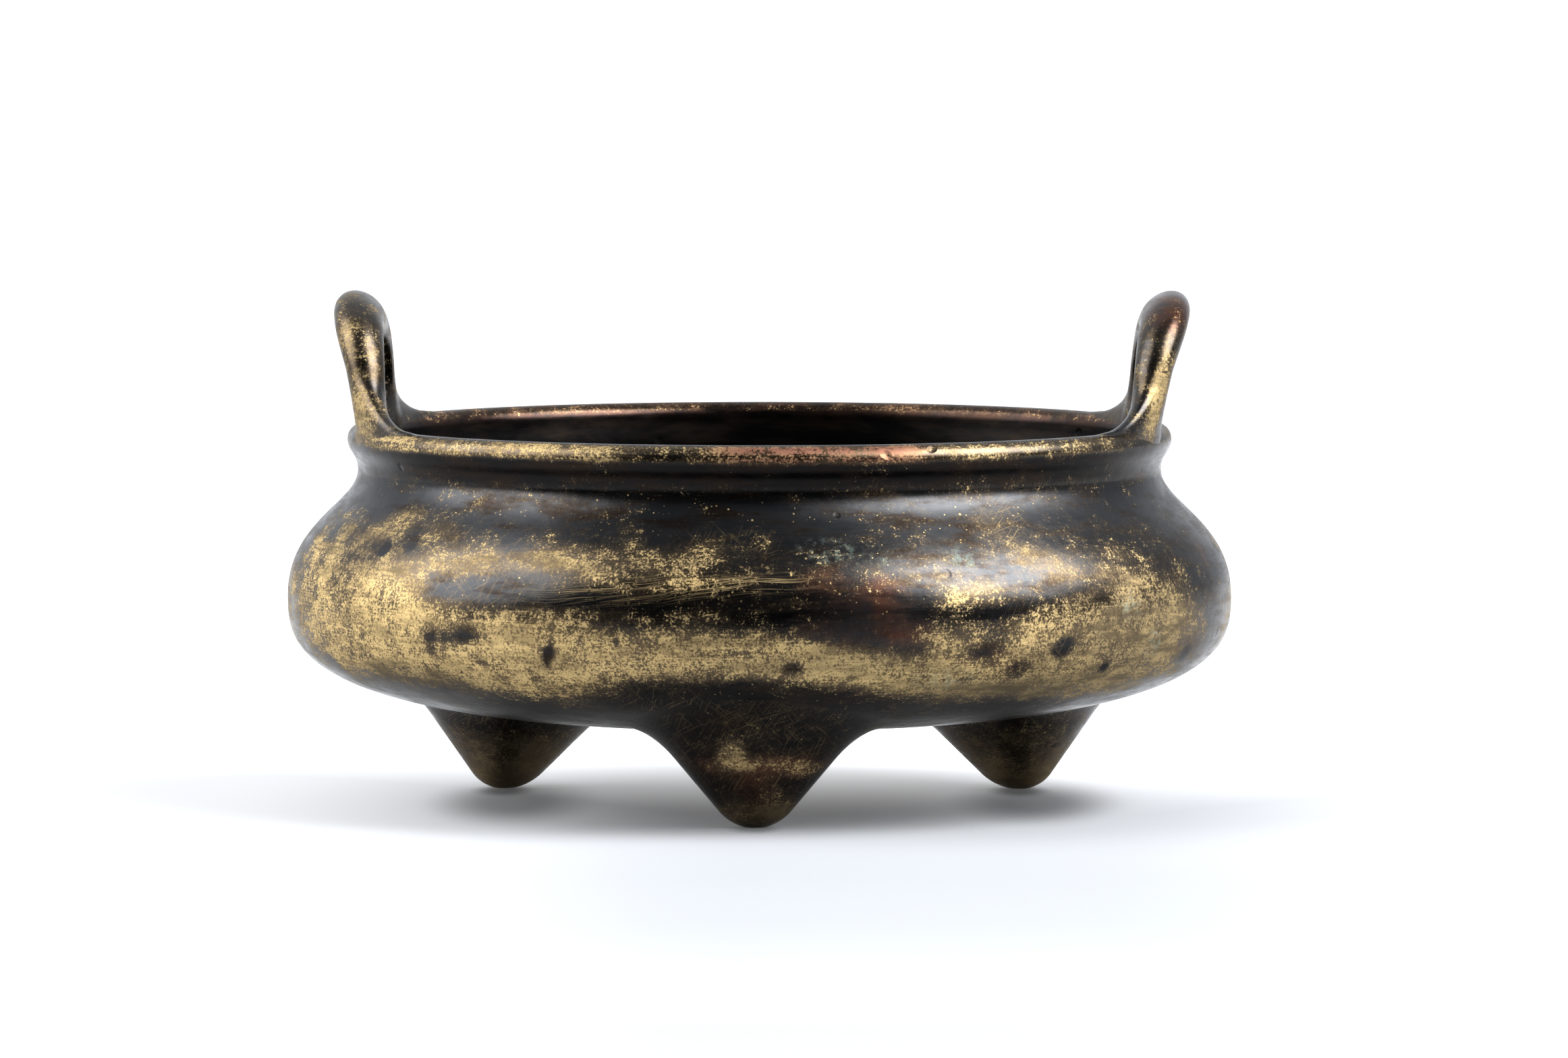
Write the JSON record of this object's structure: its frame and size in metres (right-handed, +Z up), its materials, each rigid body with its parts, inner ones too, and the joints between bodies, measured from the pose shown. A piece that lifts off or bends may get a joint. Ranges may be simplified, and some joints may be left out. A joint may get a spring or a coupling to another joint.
{
  "type": "incense burner",
  "caption": "Low round-bellied bronze incense burner with a rolled lip, upright loop handles standing on the lip, and short pointed hollow feet.",
  "frame": {"origin": "on the floor, under the middle of the bowl", "axes": "+Z up along the bowl's axis; the handles stand at -X and +X; one foot points to -Y, which is the pictured front"},
  "size_m": [0.15, 0.15, 0.0811],
  "materials": {
    "bowl_bronze": "cast bronze, dark brown patina worn to gold on the belly and lip",
    "handle_bronze": "cast bronze, rubbed brighter by handling",
    "foot_bronze": "cast bronze, near-black patina with rubbed tips"
  },
  "bodies": {
    "root": {"bowl": "bowl_bronze", "handle_left": "handle_bronze", "handle_right": "handle_bronze", "foot_front": "foot_bronze", "foot_rear_left": "foot_bronze", "foot_rear_right": "foot_bronze"}
  },
  "joints": []
}
